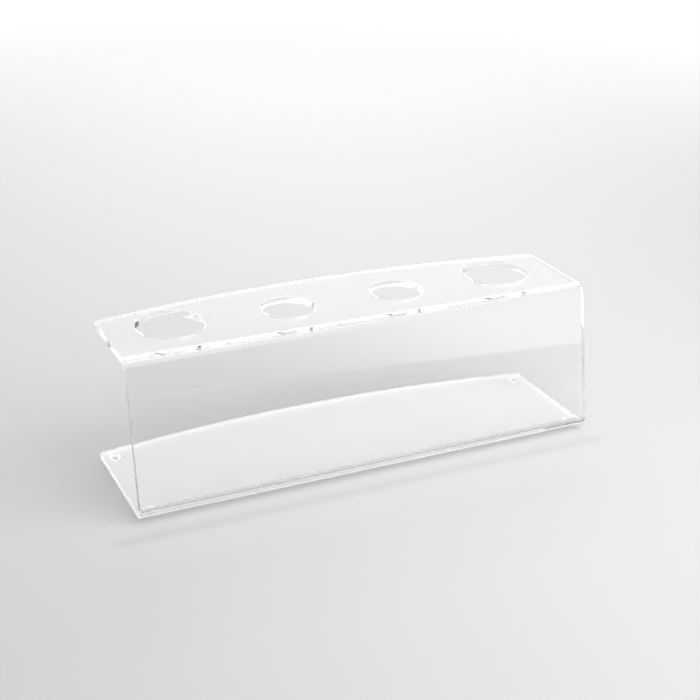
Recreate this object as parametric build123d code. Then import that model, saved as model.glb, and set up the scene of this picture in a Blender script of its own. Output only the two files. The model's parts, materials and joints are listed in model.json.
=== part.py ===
"""Four-place pipette stand: one clear acrylic sheet, line-bent twice, on four stick-on bumper feet.

The frame is +X along the stand, from its left end to its right end as seen from the front, +Y from
the front wall towards the open back, +Z up. The origin is the middle of the floor area that the
stand covers, on the surface that the feet stand on. All lengths are in millimetres.
"""

import math
import os

from build123d import *

# ---- driving dimensions: the acrylic sheet -------------------------------------------------
LENGTH = 360.0  # along X, the same for base, wall and shelf
SHEET = 5.0  # thickness of the cast sheet
SHELF_TOP = 113.0  # height of the shelf's upper face above the base's lower face
WALL_LEAN = 20.5  # how far the wall's top stands behind its foot
BASE_DEPTH = 103.0  # from the wall's foot to the base's back edge, at the ends
BASE_BOW = 16.0  # how much deeper the base is at mid length
SHELF_DEPTH = 75.5  # from the shelf's front corner to its back edge, at the ends
SHELF_BOW = 18.0  # how much deeper the shelf is at mid length
BEND_INSIDE = 3.5  # inside radius of both line bends

# ---- driving dimensions: the holes in the shelf --------------------------------------------
HOLE_PITCH = 88.0
BIG_HOLE = 50.0  # diameter of the two outer holes
SMALL_HOLE = 40.0  # diameter of the two inner holes
BIG_HOLE_BACK = 49.5  # hole centre behind the shelf's front corner
SMALL_HOLE_BACK = 46.5

# ---- driving dimensions: the stick-on feet -------------------------------------------------
FOOT_ACROSS = 8.0
FOOT_HEIGHT = 2.8
FOOT_RIM = 0.5  # straight side of the dome, next to the sheet
FOOT_FLAT = 1.5  # radius of the flat that the dome stands on
FOOT_INSET_END = 9.0  # foot centre from the sheet's end
FOOT_INSET_BACK = 7.5  # foot centre from the base's back edge, measured at the ends
FOOT_INSET_FRONT = 15.0  # foot centre from the wall's foot, clear of the bend

# ---- derived -------------------------------------------------------------------------------
LEAN_ANGLE = math.atan2(WALL_LEAN, SHELF_TOP)
BEND_OUTSIDE = BEND_INSIDE + SHEET
BASE_INSIDE = SHEET * (1 + math.sin(LEAN_ANGLE)) / math.cos(LEAN_ANGLE)
SHELF_INSIDE = WALL_LEAN + SHEET * (1 - math.sin(LEAN_ANGLE)) / math.cos(LEAN_ANGLE)
END = LENGTH / 2

# X of each hole's centre, its diameter, and how far it is behind the shelf's front corner
HOLES = [
    (-1.5 * HOLE_PITCH, BIG_HOLE, BIG_HOLE_BACK),
    (-0.5 * HOLE_PITCH, SMALL_HOLE, SMALL_HOLE_BACK),
    (0.5 * HOLE_PITCH, SMALL_HOLE, SMALL_HOLE_BACK),
    (1.5 * HOLE_PITCH, BIG_HOLE, BIG_HOLE_BACK),
]


# The sheet is drawn with Y = 0 at the wall's foot, where the outer faces of the base and the wall
# would meet without the bend, and Z = 0 at the base's lower face.
def bent_blank():
    """The sheet after both bends, as deep as its back edges are at mid length, with no holes."""
    base_back = BASE_DEPTH + BASE_BOW
    shelf_back = WALL_LEAN + SHELF_DEPTH + SHELF_BOW
    outline = Polyline(
        (base_back, 0),
        (0, 0),
        (WALL_LEAN, SHELF_TOP),
        (shelf_back, SHELF_TOP),
        (shelf_back, SHELF_TOP - SHEET),
        (SHELF_INSIDE, SHELF_TOP - SHEET),
        (BASE_INSIDE, SHEET),
        (base_back, SHEET),
        close=True,
    )
    side = make_face(outline)
    bends = side.vertices().filter_by(lambda corner: corner.X < SHELF_INSIDE + 1)
    outer = [corner for corner in bends if corner.Y in (0, SHELF_TOP)]
    inner = [corner for corner in bends if corner.Y not in (0, SHELF_TOP)]
    side = fillet(outer, BEND_OUTSIDE)
    inner = [side.vertices().sort_by_distance(corner)[0] for corner in inner]
    side = fillet(inner, BEND_INSIDE)
    return extrude(Plane.YZ * side, END, both=True)


def offcut(depth, bow, bottom):
    """What comes off behind a back edge that bows outwards, for the plate that starts at bottom."""
    far = depth + 2 * bow
    edge = ThreePointArc((-END, depth), (0, depth + bow), (END, depth))
    rest = Polyline((END, depth), (END, far), (-END, far), (-END, depth))
    return extrude(Pos(0, 0, bottom) * make_face([edge, rest]), SHEET)


def acrylic_sheet():
    sheet = bent_blank()
    sheet -= offcut(BASE_DEPTH, BASE_BOW, 0)
    sheet -= offcut(WALL_LEAN + SHELF_DEPTH, SHELF_BOW, SHELF_TOP - SHEET)
    for x, across, back in HOLES:
        centre = Pos(x, WALL_LEAN + back, SHELF_TOP - SHEET / 2)
        sheet -= centre * Cylinder(across / 2, 2 * SHEET)
    return sheet


def foot(x, y):
    """A domed bumper under the base: a short cylinder whose lower end is part of a ball."""
    radius = FOOT_ACROSS / 2
    rise = (radius**2 + FOOT_RIM**2 - FOOT_FLAT**2 - FOOT_HEIGHT**2) / (2 * (FOOT_HEIGHT - FOOT_RIM))
    ball = Pos(x, y, rise) * Sphere(math.hypot(radius, FOOT_RIM + rise))
    stub = Pos(x, y, -FOOT_HEIGHT / 2) * Cylinder(radius, FOOT_HEIGHT)
    return stub & ball


def build():
    nodes = {"acrylic_sheet": acrylic_sheet()}
    for side, x in (("left", FOOT_INSET_END - END), ("right", END - FOOT_INSET_END)):
        nodes["foot_front_" + side] = foot(x, FOOT_INSET_FRONT)
        nodes["foot_back_" + side] = foot(x, BASE_DEPTH - FOOT_INSET_BACK)
    middle = nodes["acrylic_sheet"].bounding_box().center()
    to_frame = Pos(0, -middle.Y, FOOT_HEIGHT)
    return {name: to_frame * shape for name, shape in nodes.items()}


os.makedirs("parts", exist_ok=True)
for name, shape in build().items():
    export_step(shape, "parts/" + name + ".step")
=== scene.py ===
"""The clear acrylic pipette stand in a pale studio: the bent sheet, its four bumper feet and the set."""

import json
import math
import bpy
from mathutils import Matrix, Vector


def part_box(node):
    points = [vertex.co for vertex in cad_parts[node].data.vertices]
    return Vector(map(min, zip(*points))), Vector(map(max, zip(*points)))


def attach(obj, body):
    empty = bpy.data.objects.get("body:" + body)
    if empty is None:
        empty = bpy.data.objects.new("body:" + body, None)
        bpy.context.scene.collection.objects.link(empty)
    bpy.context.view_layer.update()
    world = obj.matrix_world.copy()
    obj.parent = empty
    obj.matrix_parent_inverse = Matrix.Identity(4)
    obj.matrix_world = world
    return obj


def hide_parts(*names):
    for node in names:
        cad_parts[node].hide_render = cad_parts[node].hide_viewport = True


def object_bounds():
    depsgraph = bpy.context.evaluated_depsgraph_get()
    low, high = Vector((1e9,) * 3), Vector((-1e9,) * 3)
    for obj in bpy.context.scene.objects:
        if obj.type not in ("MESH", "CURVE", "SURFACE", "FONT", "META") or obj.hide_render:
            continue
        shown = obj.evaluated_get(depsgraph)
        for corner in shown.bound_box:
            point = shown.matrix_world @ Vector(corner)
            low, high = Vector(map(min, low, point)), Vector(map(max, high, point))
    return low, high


bl_info = {
    "name": "Acrylic pipette stand",
    "version": (1, 0, 0),
    "blender": (4, 5, 0),
    "location": "View3D > Sidebar > Pipette stand",
    "description": "Bends and drills the clear sheet, moulds its feet and lights them in a pale studio",
    "category": "Object",
}

import bmesh
import bpy
from mathutils import Matrix, Vector

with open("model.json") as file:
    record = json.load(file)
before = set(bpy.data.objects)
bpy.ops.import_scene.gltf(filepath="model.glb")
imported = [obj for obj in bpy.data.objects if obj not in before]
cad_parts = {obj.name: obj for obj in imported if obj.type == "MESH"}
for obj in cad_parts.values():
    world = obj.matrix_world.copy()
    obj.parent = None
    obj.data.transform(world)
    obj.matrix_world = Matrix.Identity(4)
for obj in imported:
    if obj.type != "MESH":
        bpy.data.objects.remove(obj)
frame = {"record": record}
cad_low, cad_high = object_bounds()

MM = 0.001
FEET = ("foot_front_left", "foot_front_right", "foot_back_left", "foot_back_right")
HOLES = {m["name"]: m for m in frame["record"]["mounts"] if m["kind"] == "bore"}
OUTER_HOLE = HOLES["pipette_hole_right"]
INNER_HOLE = HOLES["pipette_hole_inner_right"]
SHEET_LOW, SHEET_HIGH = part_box("acrylic_sheet")
FOOT_LOW, FOOT_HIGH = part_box("foot_front_right")
BACK_FOOT_LOW, BACK_FOOT_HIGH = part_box("foot_back_right")
THICKNESS = OUTER_HOLE["dims"]["length_mm"] * MM


# ---- settings that a user would change ------------------------------------------------------
class SheetSettings(bpy.types.PropertyGroup):
    """Sizes of the bent sheet that its box and its holes don't give, and its finish"""

    wall_lean: bpy.props.FloatProperty(
        name="Wall lean",
        description="How far the wall's top stands behind its foot",
        default=20.5 * MM,
        unit="LENGTH",
    )
    base_bow: bpy.props.FloatProperty(
        name="Base bow",
        description="How much deeper the base is at mid length than at its ends",
        default=16 * MM,
        unit="LENGTH",
    )
    shelf_depth: bpy.props.FloatProperty(
        name="Shelf depth",
        description="From the shelf's front corner to its back edge, at the ends",
        default=75.5 * MM,
        unit="LENGTH",
    )
    shelf_bow: bpy.props.FloatProperty(
        name="Shelf bow",
        description="How much deeper the shelf is at mid length than at its ends",
        default=18 * MM,
        unit="LENGTH",
    )
    bend_inside: bpy.props.FloatProperty(
        name="Inside bend radius",
        description="Inside radius of both line bends",
        default=3.5 * MM,
        unit="LENGTH",
    )
    arris: bpy.props.FloatProperty(
        name="Arris round",
        description="Width of the round that polishing leaves along the cut edges",
        default=0.25 * MM,
        unit="LENGTH",
    )
    bend_steps: bpy.props.IntProperty(
        name="Bend steps",
        description="Points along the middle of each bend",
        default=40,
        min=8,
    )
    tint: bpy.props.FloatVectorProperty(
        name="Acrylic tint",
        description="Colour that the clear acrylic gives what is seen through it",
        default=(0.99, 0.995, 0.995),
        subtype="COLOR",
        min=0,
        max=1,
    )


class FootSettings(bpy.types.PropertyGroup):
    """Shape and finish of the bumper feet"""

    flat: bpy.props.FloatProperty(
        name="Flat",
        description="Radius of the flat that each foot stands on",
        default=1.5 * MM,
        unit="LENGTH",
    )
    rim: bpy.props.FloatProperty(
        name="Rim",
        description="Height of the straight side next to the sheet",
        default=0.5 * MM,
        unit="LENGTH",
    )
    tint: bpy.props.FloatVectorProperty(
        name="Bumper tint",
        description="Colour of the soft clear plastic",
        default=(0.93, 0.94, 0.94),
        subtype="COLOR",
        min=0,
        max=1,
    )


class StudioSettings(bpy.types.PropertyGroup):
    """Camera, floor and light"""

    azimuth: bpy.props.FloatProperty(
        name="Camera azimuth",
        description="0 looks along +Y, 90 along -X",
        default=math.radians(-25.42),
        subtype="ANGLE",
    )
    elevation: bpy.props.FloatProperty(
        name="Camera elevation",
        description="Above the horizon",
        default=math.radians(23.78),
        subtype="ANGLE",
    )
    roll: bpy.props.FloatProperty(
        name="Camera roll",
        description="Turn of the camera about its own line of sight",
        default=math.radians(0.87),
        subtype="ANGLE",
    )
    distance: bpy.props.FloatProperty(
        name="Camera distance",
        description="From the camera to the point that it aims at",
        default=1015.7 * MM,
        unit="LENGTH",
    )
    lens: bpy.props.FloatProperty(
        name="Focal length",
        description="In millimetres, for a sensor 36 mm wide",
        default=69.56,
    )
    aim: bpy.props.FloatVectorProperty(
        name="Aim",
        description="What the camera aims at, from the middle of the stand",
        default=(5.1 * MM, 4.1 * MM, 16.1 * MM),
        subtype="TRANSLATION",
        unit="LENGTH",
    )
    floor_tone: bpy.props.FloatVectorProperty(
        name="Floor tone",
        description="Colour of the floor",
        default=(0.80, 0.80, 0.80),
        subtype="COLOR",
        min=0,
        max=1,
    )
    horizon: bpy.props.FloatProperty(
        name="Horizon",
        description="Brightness of the world where it's looked at straight",
        default=1.0,
    )
    back_light: bpy.props.FloatProperty(
        name="Back light",
        description="Brightness of the world behind the stand, as it's reflected",
        default=1.28,
    )
    high_light: bpy.props.FloatProperty(
        name="High light",
        description="Brightness of the world high up behind the stand, as it's reflected",
        default=3.65,
    )
    front_light: bpy.props.FloatProperty(
        name="Front light",
        description="Brightness of the world high up in front of the stand",
        default=1.4,
    )
    low_light: bpy.props.FloatProperty(
        name="Low light",
        description="Brightness of the rest of the world, as it's seen through the acrylic",
        default=0.8,
    )
    ambient: bpy.props.FloatProperty(
        name="Ambient",
        description="Brightness of the world as it lights the floor",
        default=0.1,
    )


# ---- node helpers ---------------------------------------------------------------------------
def add(tree, kind, inputs=None, **settings):
    """A node with its settings made, and each input set to a value or linked from an output."""
    node = tree.nodes.new(kind)
    for name, value in settings.items():
        setattr(node, name, value)
    for key, value in (inputs or {}).items():
        if isinstance(value, bpy.types.NodeSocket):
            tree.links.new(value, node.inputs[key])
        else:
            node.inputs[key].default_value = value
    return node


def maths(tree, operation, *values):
    return add(tree, "ShaderNodeMath", dict(enumerate(values)), operation=operation).outputs[0]


def vector(tree, x=0.0, y=0.0, z=0.0):
    return add(tree, "ShaderNodeCombineXYZ", {"X": x, "Y": y, "Z": z}).outputs[0]


def mix(tree, share, first, second):
    """A number that is the second one in this share and the first in the rest."""
    return add(tree, "ShaderNodeMix", {0: share, 2: first, 3: second}).outputs[0]


def ramp(tree, value, span, result):
    """Runs smoothly from one result to the other while the value crosses the span."""
    inputs = {
        "Value": value,
        "From Min": span[0],
        "From Max": span[1],
        "To Min": result[0],
        "To Max": result[1],
    }
    return add(tree, "ShaderNodeMapRange", inputs, interpolation_type="SMOOTHSTEP").outputs[0]


def split(tree, direction):
    """The x, y and z of a vector."""
    return add(tree, "ShaderNodeSeparateXYZ", {0: direction}).outputs


def new_tree(name, sockets):
    """A geometry node tree with named inputs, and the node that gives them."""
    tree = bpy.data.node_groups.new(name, "GeometryNodeTree")
    tree.interface.new_socket("Geometry", in_out="INPUT", socket_type="NodeSocketGeometry")
    for label, kind in sockets:
        tree.interface.new_socket(label, in_out="INPUT", socket_type="NodeSocket" + kind)
    tree.interface.new_socket("Geometry", in_out="OUTPUT", socket_type="NodeSocketGeometry")
    return tree, tree.nodes.new("NodeGroupInput")


def finish_tree(tree, geometry, paint):
    """Ends a tree in Realize Instances and one Set Material for each (material, selection)."""
    shape = add(tree, "GeometryNodeRealizeInstances", {"Geometry": geometry}).outputs[0]
    for material, where in paint:
        inputs = {"Geometry": shape, "Material": material}
        if where is not None:
            inputs["Selection"] = where
        shape = add(tree, "GeometryNodeSetMaterial", inputs).outputs[0]
    out = tree.nodes.new("NodeGroupOutput")
    tree.links.new(shape, out.inputs[0])


def run_tree(source, tree, values):
    """Adds the tree to an object as a modifier with its inputs set, by their identifiers."""
    modifier = source.modifiers.new(tree.name, "NODES")
    modifier.node_group = tree
    for item in tree.interface.items_tree:
        if item.item_type == "SOCKET" and item.in_out == "INPUT" and item.name in values:
            modifier[item.identifier] = values[item.name]


def round_arrises(source, width):
    """Rounds every sharp edge and keeps the flats flat in the shading."""
    bevel = source.modifiers.new("arris", "BEVEL")
    bevel.width = width
    bevel.segments = 3
    bevel.limit_method = "ANGLE"
    bevel.angle_limit = math.radians(40)
    bevel.use_clamp_overlap = False
    weighted = source.modifiers.new("flats", "WEIGHTED_NORMAL")
    weighted.mode = "FACE_AREA"
    weighted.weight = 100
    weighted.keep_sharp = False


def settle(source, name):
    """A new object at the origin with the plain mesh that the source's modifiers make of it."""
    evaluated = source.evaluated_get(bpy.context.evaluated_depsgraph_get())
    mesh = bpy.data.meshes.new_from_object(evaluated)
    mesh.name = name
    piece = bpy.data.objects.new(name, mesh)
    bpy.context.collection.objects.link(piece)
    bpy.data.objects.remove(source)
    return piece


def temporary(data, name):
    """A new object in the scene with this data."""
    made = bpy.data.objects.new(name, data)
    bpy.context.collection.objects.link(made)
    return made


# ---- materials ------------------------------------------------------------------------------
ACRYLIC_IOR = 1.491
BUMPER_IOR = 1.5
# the part of a lamp's light that each surface lets straight through
FACE_PASS = 0.995
EDGE_PASS = 0.97
BUMPER_PASS = 0.97
BEND_PASS = 0.2
# |z| of the normal, middle and reach, on a surface that is on a bend
BEND_SLOPE = (0.6, 0.37)
UPPER_HALF = 60 * MM


def new_material(name):
    """A material with its node tree and its Principled shader."""
    material = bpy.data.materials.new(name)
    material.use_nodes = True
    tree = material.node_tree
    return material, tree, tree.nodes["Principled BSDF"]


def blend(tree, share, first, second):
    """A shader that is the second one in this share and the first in the rest."""
    return add(tree, "ShaderNodeMixShader", {0: share, 1: first, 2: second}).outputs[0]


def set_surface(tree, shader):
    tree.links.new(shader, tree.nodes["Material Output"].inputs["Surface"])


def clear_plastic(name, tint, ior, roughness):
    """The clear shader that the acrylic and the bumpers start from."""
    material, tree, shader = new_material(name)
    shader.inputs["Base Color"].default_value = (*tint, 1)
    shader.inputs["Transmission Weight"].default_value = 1.0
    shader.inputs["IOR"].default_value = ior
    shader.inputs["Roughness"].default_value = roughness
    return material, tree, shader


def let_light_through(tree, shader, part, bend_part=None):
    """Lets this part of a lamp's light straight through, and, given a bend part, less of it on bends in
    the sheet's upper half.
    """
    path = tree.nodes.new("ShaderNodeLightPath").outputs["Is Shadow Ray"]
    through = tree.nodes.new("ShaderNodeBsdfTransparent")
    through.inputs["Color"].default_value = (part, part, part, 1)
    if bend_part is not None:
        where = tree.nodes.new("ShaderNodeTexCoord").outputs
        slope = maths(tree, "ABSOLUTE", split(tree, where["Normal"])[2])
        bent = maths(tree, "COMPARE", slope, *BEND_SLOPE)
        upper = maths(tree, "GREATER_THAN", split(tree, where["Object"])[2], UPPER_HALF)
        bent = maths(tree, "MULTIPLY", bent, upper)
        shade = maths(tree, "MULTIPLY_ADD", bent, bend_part - part, part)
        tree.links.new(shade, through.inputs["Color"])
    set_surface(tree, blend(tree, path, shader.outputs[0], through.outputs[0]))


def roughen(tree, shader, waves, height):
    """A bump this high, with this many waves to the metre along each axis."""
    place = tree.nodes.new("ShaderNodeTexCoord").outputs["Object"]
    place = add(tree, "ShaderNodeVectorMath", {0: place, 1: waves}, operation="MULTIPLY").outputs[0]
    noise = add(tree, "ShaderNodeTexNoise", {"Vector": place, "Scale": 1.0, "Detail": 1.0})
    inputs = {"Height": noise.outputs[0], "Distance": height, "Strength": 1.0}
    bump = add(tree, "ShaderNodeBump", inputs)
    tree.links.new(bump.outputs[0], shader.inputs["Normal"])


def clear_acrylic(tint):
    """Polished faces of cast acrylic, with the faint wave that a sheet keeps from its casting."""
    material, tree, shader = clear_plastic("clear_acrylic", tint, ACRYLIC_IOR, 0.0)
    roughen(tree, shader, (22, 22, 22), 0.06 * MM)
    let_light_through(tree, shader, FACE_PASS, BEND_PASS)
    return material


def cut_acrylic(tint):
    """The laser-cut edges: clear, with the fine upright lines that the beam leaves."""
    material, tree, shader = clear_plastic("cut_acrylic", tint, ACRYLIC_IOR, 0.06)
    roughen(tree, shader, (900, 900, 60), 0.02 * MM)
    let_light_through(tree, shader, EDGE_PASS)
    return material


def clear_bumper(tint):
    """The soft plastic of the feet, a little grainy."""
    material, tree, shader = clear_plastic("clear_bumper", tint, BUMPER_IOR, 0.05)
    roughen(tree, shader, (700, 700, 700), 0.02 * MM)
    let_light_through(tree, shader, BUMPER_PASS)
    return material


# ---- the acrylic sheet ----------------------------------------------------------------------
SHEET_SOCKETS = [
    ("Length", "Float"),
    ("Thickness", "Float"),
    ("Bend Radius", "Float"),
    ("Bend Steps", "Int"),
    ("Hole Pitch", "Float"),
    ("Outer Hole Radius", "Float"),
    ("Inner Hole Radius", "Float"),
    ("Outer Hole Back", "Float"),
    ("Inner Hole Back", "Float"),
    ("Shelf Height", "Float"),
    ("Shelf Back", "Float"),
    ("Shelf Bow", "Float"),
    ("Base Height", "Float"),
    ("Base Back", "Float"),
    ("Base Bow", "Float"),
    ("Face", "Material"),
    ("Cut Edge", "Material"),
]
ROUND_STEPS = 160
EDGE_STEPS = 72
# how far the blank reaches past the back edges that are cut into it
SPARE = 3 * MM
# the side of a back edge's arc that its cutter lies on
OUTWARDS = -1.0
# |x| of the normal, from which a face is one of the sheet's ends
END_NORMAL = 0.9
# |z| of the normal, up to which a face is upright
UPRIGHT_NORMAL = 0.01
# y, from which an upright face is a cut edge and not the wall
BEHIND_BENDS = -25 * MM
WELD = 0.005 * MM


def bent_blank(tree, given):
    """The middle line with its corners bent round, swept by the sheet's cross-section."""
    line = add(tree, "GeometryNodeMeshToCurve", {"Mesh": given["Geometry"]}).outputs[0]
    line = add(
        tree,
        "GeometryNodeFilletCurve",
        {"Curve": line, "Count": given["Bend Steps"], "Radius": given["Bend Radius"]},
        mode="POLY",
    ).outputs[0]
    line = add(
        tree, "GeometryNodeSetCurveNormal", {"Curve": line, "Normal": (1, 0, 0)}, mode="FREE"
    ).outputs[0]
    section = add(
        tree,
        "GeometryNodeCurvePrimitiveQuadrilateral",
        {"Width": given["Length"], "Height": given["Thickness"]},
    ).outputs[0]
    return add(
        tree,
        "GeometryNodeCurveToMesh",
        {"Curve": line, "Profile Curve": section, "Fill Caps": True},
    ).outputs[0]


def drills(tree, given):
    """One cylinder for each hole, wider at the two ends of the row."""
    pitch = given["Hole Pitch"]
    row = add(
        tree,
        "GeometryNodeMeshLine",
        {
            "Count": 4,
            "Start Location": vector(tree, maths(tree, "MULTIPLY", pitch, -1.5)),
            "Offset": vector(tree, pitch),
        },
    ).outputs[0]
    index = tree.nodes.new("GeometryNodeInputIndex").outputs[0]
    from_middle = maths(tree, "ABSOLUTE", maths(tree, "SUBTRACT", index, 1.5))
    outer = maths(tree, "GREATER_THAN", from_middle, 1.0)

    def choose(name):
        inner, wide = given["Inner Hole " + name], given["Outer Hole " + name]
        return mix(tree, outer, inner, wide)

    row = add(
        tree,
        "GeometryNodeSetPosition",
        {"Geometry": row, "Offset": vector(tree, 0.0, choose("Back"), given["Shelf Height"])},
    ).outputs[0]
    drill = add(
        tree,
        "GeometryNodeMeshCylinder",
        {"Vertices": ROUND_STEPS, "Radius": 1.0, "Depth": 3 * THICKNESS},
    ).outputs[0]
    radius = choose("Radius")
    return add(
        tree,
        "GeometryNodeInstanceOnPoints",
        {"Points": row, "Instance": drill, "Scale": vector(tree, radius, radius, 1.0)},
    ).outputs[0]


def offcut(tree, given, plate):
    """What is cut away behind a plate's back edge, which bows outwards in an arc."""
    end = maths(tree, "MULTIPLY", given["Length"], 0.5)
    back, bow, height = (given[plate + " " + name] for name in ("Back", "Bow", "Height"))
    edge = add(
        tree,
        "GeometryNodeCurveArc",
        {
            "Resolution": EDGE_STEPS + 1,
            "Start": vector(tree, maths(tree, "MULTIPLY", end, -1.0), back, height),
            "Middle": vector(tree, 0.0, maths(tree, "ADD", back, bow), height),
            "End": vector(tree, end, back, height),
        },
        mode="POINTS",
    ).outputs[0]
    edge = add(tree, "GeometryNodeSetCurveNormal", {"Curve": edge}, mode="Z_UP").outputs[0]
    reach = maths(tree, "MULTIPLY", bow, 2.0)
    section = add(
        tree,
        "GeometryNodeCurvePrimitiveQuadrilateral",
        {"Width": reach, "Height": maths(tree, "MULTIPLY", given["Thickness"], 3.0)},
    ).outputs[0]
    outwards = maths(tree, "MULTIPLY", reach, OUTWARDS * 0.5)
    section = add(
        tree,
        "GeometryNodeTransform",
        {"Geometry": section, "Translation": vector(tree, outwards)},
    ).outputs[0]
    return add(
        tree,
        "GeometryNodeCurveToMesh",
        {"Curve": edge, "Profile Curve": section, "Fill Caps": True},
    ).outputs[0]


def sheet_tree():
    """The blank less its holes and offcuts, with the cut edges given their own material."""
    tree, group_input = new_tree("Bend, drill and trim", SHEET_SOCKETS)
    given = group_input.outputs
    cutters = [drills(tree, given), offcut(tree, given, "Shelf"), offcut(tree, given, "Base")]
    cut = add(tree, "GeometryNodeMeshBoolean", {"Mesh 1": bent_blank(tree, given)})
    cut.operation = "DIFFERENCE"
    cut.solver = "EXACT"
    for cutter in cutters:
        solid = add(tree, "GeometryNodeRealizeInstances", {"Geometry": cutter}).outputs[0]
        tree.links.new(solid, cut.inputs["Mesh 2"])
    normal = split(tree, tree.nodes.new("GeometryNodeInputNormal").outputs[0])
    place = split(tree, tree.nodes.new("GeometryNodeInputPosition").outputs[0])
    at_end = maths(tree, "GREATER_THAN", maths(tree, "ABSOLUTE", normal[0]), END_NORMAL)
    upright = maths(tree, "LESS_THAN", maths(tree, "ABSOLUTE", normal[2]), UPRIGHT_NORMAL)
    behind_bends = maths(tree, "GREATER_THAN", place[1], BEHIND_BENDS)
    cut_face = maths(tree, "MAXIMUM", at_end, maths(tree, "MULTIPLY", upright, behind_bends))
    clean = add(
        tree, "GeometryNodeMergeByDistance", {"Geometry": cut.outputs[0], "Distance": WELD}
    ).outputs[0]
    smooth = add(tree, "GeometryNodeSetShadeSmooth", {"Geometry": clean}).outputs[0]
    finish_tree(tree, smooth, [(given["Face"], None), (given["Cut Edge"], cut_face)])
    return tree


def middle_line(settings):
    """The middle of the sheet's thickness, seen from the side, with sharp corners."""
    half = THICKNESS / 2
    foot_y = SHEET_HIGH.y - settings.base_bow - base_depth(settings)
    low, high = SHEET_LOW.z + half, SHEET_HIGH.z - half
    lean = math.atan2(settings.wall_lean, SHEET_HIGH.z - SHEET_LOW.z)
    foot = foot_y + half * (1 + math.sin(lean)) / math.cos(lean)
    top = foot_y + settings.wall_lean + half * (1 - math.sin(lean)) / math.cos(lean)
    base_back = SHEET_HIGH.y + SPARE
    shelf_back = foot_y + settings.wall_lean + settings.shelf_depth + settings.shelf_bow + SPARE
    corners = [(0, base_back, low), (0, foot, low), (0, top, high), (0, shelf_back, high)]
    line = bpy.data.meshes.new("middle_line")
    line.from_pydata(corners, [(0, 1), (1, 2), (2, 3)], [])
    return line


def base_depth(settings):
    """From where the outer faces of base and wall would meet to the base's back edge, at the ends.

    The bend brings the wall's foot in by less than its outside radius, so the box's front is that
    much behind the corner.
    """
    lean = math.atan2(settings.wall_lean, SHEET_HIGH.z - SHEET_LOW.z)
    outside = settings.bend_inside + THICKNESS
    corner = outside * (1 / math.tan((math.pi / 2 - lean) / 2) - 1)
    return SHEET_HIGH.y - SHEET_LOW.y - settings.base_bow + corner


class STAND_OT_acrylic_sheet(bpy.types.Operator):
    """Bend the clear sheet, drill its holes, trim its back edges and polish it"""

    bl_idname = "stand.acrylic_sheet"
    bl_label = "Acrylic sheet"

    def execute(self, context):
        settings = context.scene.stand_sheet
        foot_y = SHEET_HIGH.y - settings.base_bow - base_depth(settings)
        source = temporary(middle_line(settings), "sheet_source")
        values = {
            "Length": SHEET_HIGH.x - SHEET_LOW.x,
            "Thickness": THICKNESS,
            "Bend Radius": settings.bend_inside + THICKNESS / 2,
            "Bend Steps": settings.bend_steps,
            "Hole Pitch": OUTER_HOLE["pos_m"][0] / 1.5,
            "Outer Hole Radius": OUTER_HOLE["dims"]["r_mm"] * MM,
            "Inner Hole Radius": INNER_HOLE["dims"]["r_mm"] * MM,
            "Outer Hole Back": OUTER_HOLE["pos_m"][1],
            "Inner Hole Back": INNER_HOLE["pos_m"][1],
            "Shelf Height": OUTER_HOLE["pos_m"][2],
            "Shelf Back": foot_y + settings.wall_lean + settings.shelf_depth,
            "Shelf Bow": settings.shelf_bow,
            "Base Height": SHEET_LOW.z + THICKNESS / 2,
            "Base Back": SHEET_HIGH.y - settings.base_bow,
            "Base Bow": settings.base_bow,
            "Face": clear_acrylic(settings.tint),
            "Cut Edge": cut_acrylic(settings.tint),
        }
        run_tree(source, sheet_tree(), values)
        round_arrises(source, settings.arris)
        piece = settle(source, "clear_sheet")
        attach(piece, "root")
        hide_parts("acrylic_sheet")
        return {"FINISHED"}


# ---- the feet -------------------------------------------------------------------------------
FOOT_GAP = 0.02 * MM
FOOT_EDGE = 0.15 * MM
DOME_STEPS = 14
TURN_STEPS = 64


def foot_mesh(settings):
    """One domed foot with the middle of its top at the origin, turned from half its section."""
    radius = (FOOT_HIGH.x - FOOT_LOW.x) / 2
    height = FOOT_HIGH.z - FOOT_LOW.z
    spread = radius**2 + settings.rim**2 - settings.flat**2 - height**2
    rise = spread / (2 * (height - settings.rim))
    ball = math.hypot(radius, settings.rim + rise)
    start = math.asin(radius / ball)
    stop = math.asin(settings.flat / ball)
    half = [(0, -FOOT_GAP), (radius - FOOT_EDGE, -FOOT_GAP), (radius, -FOOT_EDGE)]
    for i in range(DOME_STEPS + 1):
        angle = start + (stop - start) * i / DOME_STEPS
        half.append((ball * math.sin(angle), rise - ball * math.cos(angle)))
    half.append((0, -height))
    mesh = bmesh.new()
    points = [mesh.verts.new((x, 0, z)) for x, z in half]
    edges = [mesh.edges.new(pair) for pair in zip(points, points[1:])]
    bmesh.ops.spin(
        mesh,
        geom=points + edges,
        cent=(0, 0, 0),
        axis=(0, 0, 1),
        angle=2 * math.pi,
        steps=TURN_STEPS,
        use_merge=True,
    )
    bmesh.ops.remove_doubles(mesh, verts=mesh.verts, dist=0.001 * MM)
    bmesh.ops.recalc_face_normals(mesh, faces=mesh.faces)
    for face in mesh.faces:
        face.smooth = True
    data = bpy.data.meshes.new("foot")
    mesh.to_mesh(data)
    mesh.free()
    return data


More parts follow.
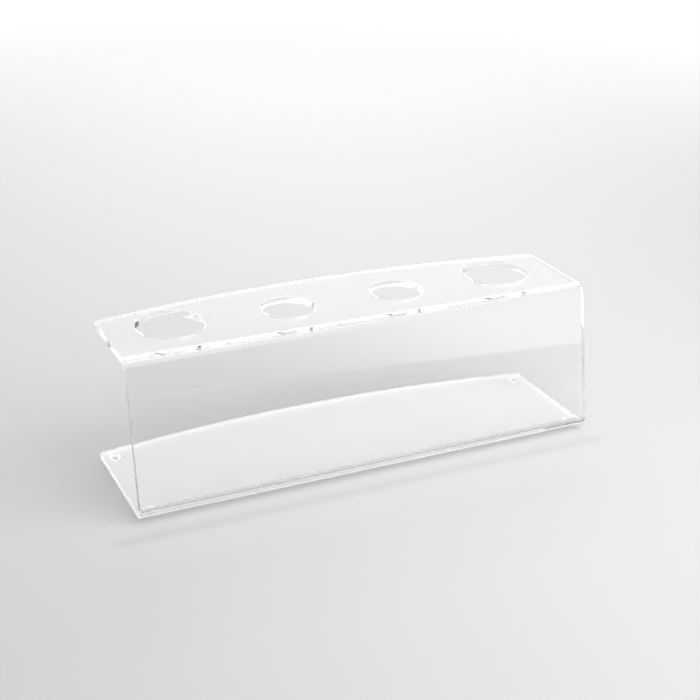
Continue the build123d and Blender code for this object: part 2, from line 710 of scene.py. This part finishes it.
def feet_tree():
    """A foot at each corner of a rectangle."""
    tree, group_input = new_tree(
        "Feet at the corners",
        [
            ("Across", "Float"),
            ("Along", "Float"),
            ("Middle", "Vector"),
            ("Rubber", "Material"),
        ],
    )
    given = group_input.outputs
    grid = add(
        tree,
        "GeometryNodeMeshGrid",
        {"Size X": given["Along"], "Size Y": given["Across"], "Vertices X": 2, "Vertices Y": 2},
    ).outputs[0]
    corners = add(
        tree, "GeometryNodeSetPosition", {"Geometry": grid, "Offset": given["Middle"]}
    ).outputs[0]
    feet = add(
        tree,
        "GeometryNodeInstanceOnPoints",
        {"Points": corners, "Instance": given["Geometry"]},
    ).outputs[0]
    finish_tree(tree, feet, [(given["Rubber"], None)])
    return tree


class STAND_OT_bumper_feet(bpy.types.Operator):
    """Mould one clear bumper foot and set it under each corner of the base"""

    bl_idname = "stand.bumper_feet"
    bl_label = "Bumper feet"

    def execute(self, context):
        settings = context.scene.stand_feet
        source = temporary(foot_mesh(settings), "feet_source")
        front = (FOOT_LOW.y + FOOT_HIGH.y) / 2
        back = (BACK_FOOT_LOW.y + BACK_FOOT_HIGH.y) / 2
        values = {
            "Along": FOOT_LOW.x + FOOT_HIGH.x,
            "Across": back - front,
            "Middle": (0.0, (front + back) / 2, FOOT_HIGH.z),
            "Rubber": clear_bumper(settings.tint),
        }
        run_tree(source, feet_tree(), values)
        piece = settle(source, "bumper_feet")
        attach(piece, "root")
        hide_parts(*FEET)
        return {"FINISHED"}


# ---- the studio -----------------------------------------------------------------------------
# Places and sizes in the studio are in metres.
FLOOR_RADIUS = 1.9
FADE_MIDDLE = (0.0, 0.35, 0.0)
FADE_START = 0.5
FADE_END = 1.5
# name, place, side of the square and brightness
SOFTBOXES = (
    ("softbox_back", (0.62, 1.47, 1.62), 0.8, 15.8),
    ("softbox_top", (0.10, 0.42, 1.50), 0.12, 90.0),
    ("softbox_front", (0.23, -0.40, 0.6), 0.8, 1.6),
)
SOFTBOX_TARGET = Vector((0, 0.2, 0))
# painted dark reflection: a black card just above the floor in front, seen only in the acrylic's
# reflections and casting no shade; y where it starts, and where it's fully black
DARK_REFLECTION_NEAR = -0.24
DARK_REFLECTION_FULL = -0.42
DARK_REFLECTION_CORNERS = ((-3, -3), (0.10, -3), (0.10, -0.875), (1.05, DARK_REFLECTION_NEAR), (-3, DARK_REFLECTION_NEAR))
DARK_REFLECTION_TONE = 0.1
# painted glints: a glowing card on the floor behind and to the right, seen only by light that the
# acrylic bent and reflected
GLINT_CARD_CORNERS = (
    (0.32, DARK_REFLECTION_NEAR),
    (1.6, DARK_REFLECTION_NEAR),
    (1.6, 1.6),
    (-1.6, 1.6),
    (-1.6, 0.121),
    (0.32, 0.121),
)
# painted reflection: a glowing panel, upright in front and to the right, seen only in reflections
REFLECTION_PANEL_FOOT = ((0.0, -0.942, 0.003), (0.95, -0.307, 0.003))
REFLECTION_PANEL_TOP = 0.5
# enough for light to run along the sheet from end to end
BOUNCES = 96


def place_camera(settings):
    """The camera, turned, tilted and rolled about what it aims at."""
    turn, tilt = settings.azimuth, settings.elevation
    back = Vector(
        (math.sin(turn) * math.cos(tilt), -math.cos(turn) * math.cos(tilt), math.sin(tilt))
    )
    level = Vector((math.cos(turn), math.sin(turn), 0))
    upright = back.cross(level)
    right = math.cos(settings.roll) * level + math.sin(settings.roll) * upright
    up = math.cos(settings.roll) * upright - math.sin(settings.roll) * level
    target = (cad_low + cad_high) / 2 + Vector(settings.aim)
    camera = temporary(bpy.data.cameras.new("camera"), "camera")
    camera.data.lens = settings.lens
    camera.data.sensor_width = 36
    turned = Matrix((right, up, back)).transposed().to_4x4()
    camera.matrix_world = Matrix.Translation(target + back * settings.distance) @ turned
    bpy.context.scene.camera = camera


def hide_from(thing, *kinds):
    """Makes an object or a lamp invisible to these kinds of ray."""
    for kind in kinds:
        setattr(thing, "visible_" + kind, False)


def lay_floor(settings):
    """A round floor that fades into the world before it ends, so there is no horizon."""
    mesh = bmesh.new()
    bmesh.ops.create_circle(mesh, cap_ends=True, segments=96, radius=FLOOR_RADIUS)
    data = bpy.data.meshes.new("floor")
    mesh.to_mesh(data)
    mesh.free()
    floor = temporary(data, "floor")
    material, tree, shader = new_material("studio_floor")
    shader.inputs["Base Color"].default_value = (*settings.floor_tone, 1)
    shader.inputs["Roughness"].default_value = 0.9
    shader.inputs["Specular IOR Level"].default_value = 0.0
    place = tree.nodes.new("ShaderNodeTexCoord").outputs["Object"]
    away = add(
        tree, "ShaderNodeVectorMath", {0: place, 1: FADE_MIDDLE}, operation="DISTANCE"
    ).outputs["Value"]
    fade = ramp(tree, away, (FADE_START, FADE_END), (0.0, 1.0))
    clear = tree.nodes.new("ShaderNodeBsdfTransparent").outputs[0]
    set_surface(tree, blend(tree, fade, shader.outputs[0], clear))
    data.materials.append(material)


def light_world(settings):
    """White to look at, dim as it lights the floor, and uneven as the acrylic shows it.

    Light that passed through the acrylic finds it even, but brighter high up in front and dark
    above the horizon behind to the left. A reflection finds it brightest high up behind the stand.
    """
    world = bpy.data.worlds.new("studio")
    world.use_nodes = True
    bpy.context.scene.world = world
    tree = world.node_tree
    where = tree.nodes.new("ShaderNodeTexCoord").outputs["Generated"]
    x, y, z = split(tree, where)
    path = tree.nodes.new("ShaderNodeLightPath").outputs
    front = ramp(tree, z, (0.1, 0.35), (settings.low_light, settings.front_light))
    behind = ramp(tree, y, (-0.3, 0.2), (0.0, 1.0))
    through = mix(tree, behind, front, settings.low_light)
    left = ramp(tree, x, (-0.3, -0.15), (1, 0))
    dark = maths(tree, "MULTIPLY", left, ramp(tree, y, (0.5, 0.65), (0, 1)))
    dark = maths(tree, "MULTIPLY", dark, ramp(tree, z, (0.12, 0.25), (0, 1)))
    through = mix(tree, dark, through, 0.02)
    high = ramp(tree, z, (0.395, 0.43), (settings.back_light, settings.high_light))
    mirrored = mix(tree, ramp(tree, y, (-0.3, 0.3), (0.0, 1.0)), front, high)
    glow = mix(tree, path["Is Transmission Ray"], mirrored, through)
    light = mix(tree, path["Is Glossy Ray"], settings.ambient, glow)
    shown = mix(tree, path["Is Camera Ray"], light, settings.horizon)
    background = tree.nodes["Background"]
    background.inputs["Color"].default_value = (1, 1, 1, 1)
    tree.links.new(shown, background.inputs["Strength"])


def hang_softbox(name, place, size, radiance):
    """A square softbox turned to the stand, with its power worked out from its brightness."""
    data = bpy.data.lights.new(name, "AREA")
    data.shape = "SQUARE"
    data.size = size
    data.energy = radiance * math.pi * size**2
    softbox = temporary(data, name)
    softbox.location = place
    aim = SOFTBOX_TARGET - Vector(place)
    softbox.rotation_euler = aim.to_track_quat("-Z", "Y").to_euler()
    hide_from(softbox, "camera", "glossy", "transmission")


def make_card(name, corners):
    """A flat card with these corners, hidden from the camera, the floor and the lamps, on which
    reflections and glints are painted.
    """
    mesh = bmesh.new()
    mesh.faces.new([mesh.verts.new(corner) for corner in corners])
    data = bpy.data.meshes.new(name)
    mesh.to_mesh(data)
    mesh.free()
    card = temporary(data, name)
    hide_from(card, "camera", "diffuse", "shadow")
    material, tree, shader = new_material(name)
    data.materials.append(material)
    return tree, shader


def painted_glow(tree, strength):
    # painted glow for the cards: it is no lamp, and the floor and the camera never see it
    return add(tree, "ShaderNodeEmission", {"Strength": strength}).outputs[0]


def lay_painted_dark_reflection():
    """Painted dark reflection and painted glow: black to light reflected once off the acrylic's outside,
    glowing to light reflected more often.
    """
    tree, shader = make_card("painted_dark_reflection", [(x, y, 0.002) for x, y in DARK_REFLECTION_CORNERS])
    # painted dark reflection: the card's dark tone, which only reflections see
    shader.inputs["Base Color"].default_value = (DARK_REFLECTION_TONE, DARK_REFLECTION_TONE, DARK_REFLECTION_TONE, 1)
    shader.inputs["Roughness"].default_value = 1.0
    path = tree.nodes.new("ShaderNodeLightPath").outputs
    once = maths(tree, "COMPARE", path["Glossy Depth"], 1.0, 0.1)
    outside = maths(tree, "LESS_THAN", path["Transmission Depth"], 0.5)
    outside = maths(tree, "MULTIPLY", once, outside)
    place = tree.nodes.new("ShaderNodeTexCoord").outputs["Object"]
    full = ramp(tree, split(tree, place)[1], (DARK_REFLECTION_FULL, DARK_REFLECTION_NEAR), (1.0, 0.0))
    seen = maths(tree, "MULTIPLY", outside, full)
    clear = tree.nodes.new("ShaderNodeBsdfTransparent").outputs[0]
    dark = blend(tree, seen, clear, shader.outputs[0])
    often = maths(tree, "GREATER_THAN", path["Glossy Depth"], 1.5)
    # painted glow: deeper reflections find the card shining, though it is no lamp
    set_surface(tree, blend(tree, often, dark, painted_glow(tree, 1.5)))


def lay_painted_glint_card():
    """Painted glints: glowing for light that the acrylic both bent and reflected, and clear for the
    rest.
    """
    tree, _ = make_card("painted_glint_card", [(x, y, 0.0015) for x, y in GLINT_CARD_CORNERS])
    path = tree.nodes.new("ShaderNodeLightPath").outputs
    reflected = maths(tree, "GREATER_THAN", path["Glossy Depth"], 0.5)
    entered = maths(tree, "GREATER_THAN", path["Transmission Depth"], 0.5)
    inside = maths(tree, "MULTIPLY", reflected, entered)
    clear = tree.nodes.new("ShaderNodeBsdfTransparent").outputs[0]
    # painted glow on the acrylic's edges and bends, from a card that is no lamp
    set_surface(tree, blend(tree, inside, clear, painted_glow(tree, 1.6)))


def stand_painted_reflection_panel():
    """Painted reflection: upright and glowing for what the acrylic reflects, brighter to the right and
    when reflected twice.
    """
    top = [(x, y, REFLECTION_PANEL_TOP) for x, y, _ in reversed(REFLECTION_PANEL_FOOT)]
    tree, _ = make_card("panel", [*REFLECTION_PANEL_FOOT, *top])
    place = tree.nodes.new("ShaderNodeTexCoord").outputs["Object"]
    depth = tree.nodes.new("ShaderNodeLightPath").outputs["Glossy Depth"]
    deep = maths(tree, "MULTIPLY", maths(tree, "GREATER_THAN", depth, 1.5), 2.0)
    # painted reflection brightness, rising to the right
    rightwards = ramp(tree, split(tree, place)[0], (0.1, 0.45), (0.1, 1.6))
    glow = maths(tree, "MAXIMUM", rightwards, deep)
    seen = maths(tree, "GREATER_THAN", depth, 0.5)
    clear = tree.nodes.new("ShaderNodeBsdfTransparent").outputs[0]
    set_surface(tree, blend(tree, seen, clear, painted_glow(tree, glow)))


class STAND_OT_studio(bpy.types.Operator):
    """Lay the pale floor and set the lights and the camera"""

    bl_idname = "stand.studio"
    bl_label = "Studio"

    def execute(self, context):
        settings = context.scene.stand_studio
        place_camera(settings)
        lay_floor(settings)
        light_world(settings)
        lay_painted_dark_reflection()
        lay_painted_glint_card()
        stand_painted_reflection_panel()
        for softbox in SOFTBOXES:
            hang_softbox(*softbox)
        context.scene.view_settings.view_transform = "Standard"
        cycles = context.scene.cycles
        cycles.max_bounces = BOUNCES
        cycles.glossy_bounces = BOUNCES
        cycles.transmission_bounces = BOUNCES
        cycles.transparent_max_bounces = 16
        cycles.caustics_refractive = False
        cycles.caustics_reflective = True
        return {"FINISHED"}


class STAND_PT_panel(bpy.types.Panel):
    """The stand's pieces and its studio"""

    bl_idname = "STAND_PT_panel"
    bl_label = "Pipette stand"
    bl_space_type = "VIEW_3D"
    bl_region_type = "UI"
    bl_category = "Pipette stand"

    def draw(self, context):
        for operator in OPERATORS:
            self.layout.operator(operator.bl_idname)


OPERATORS = (STAND_OT_studio, STAND_OT_acrylic_sheet, STAND_OT_bumper_feet)
SETTINGS = {
    "stand_sheet": SheetSettings,
    "stand_feet": FootSettings,
    "stand_studio": StudioSettings,
}
CLASSES = (*SETTINGS.values(), *OPERATORS, STAND_PT_panel)


def register():
    for cls in CLASSES:
        bpy.utils.register_class(cls)
    for name, group in SETTINGS.items():
        setattr(bpy.types.Scene, name, bpy.props.PointerProperty(type=group))


def unregister():
    for name in SETTINGS:
        delattr(bpy.types.Scene, name)
    for cls in reversed(CLASSES):
        bpy.utils.unregister_class(cls)


def main():
    register()
    bpy.ops.stand.studio()
    bpy.ops.stand.acrylic_sheet()
    bpy.ops.stand.bumper_feet()


if __name__ == "__main__":
    main()
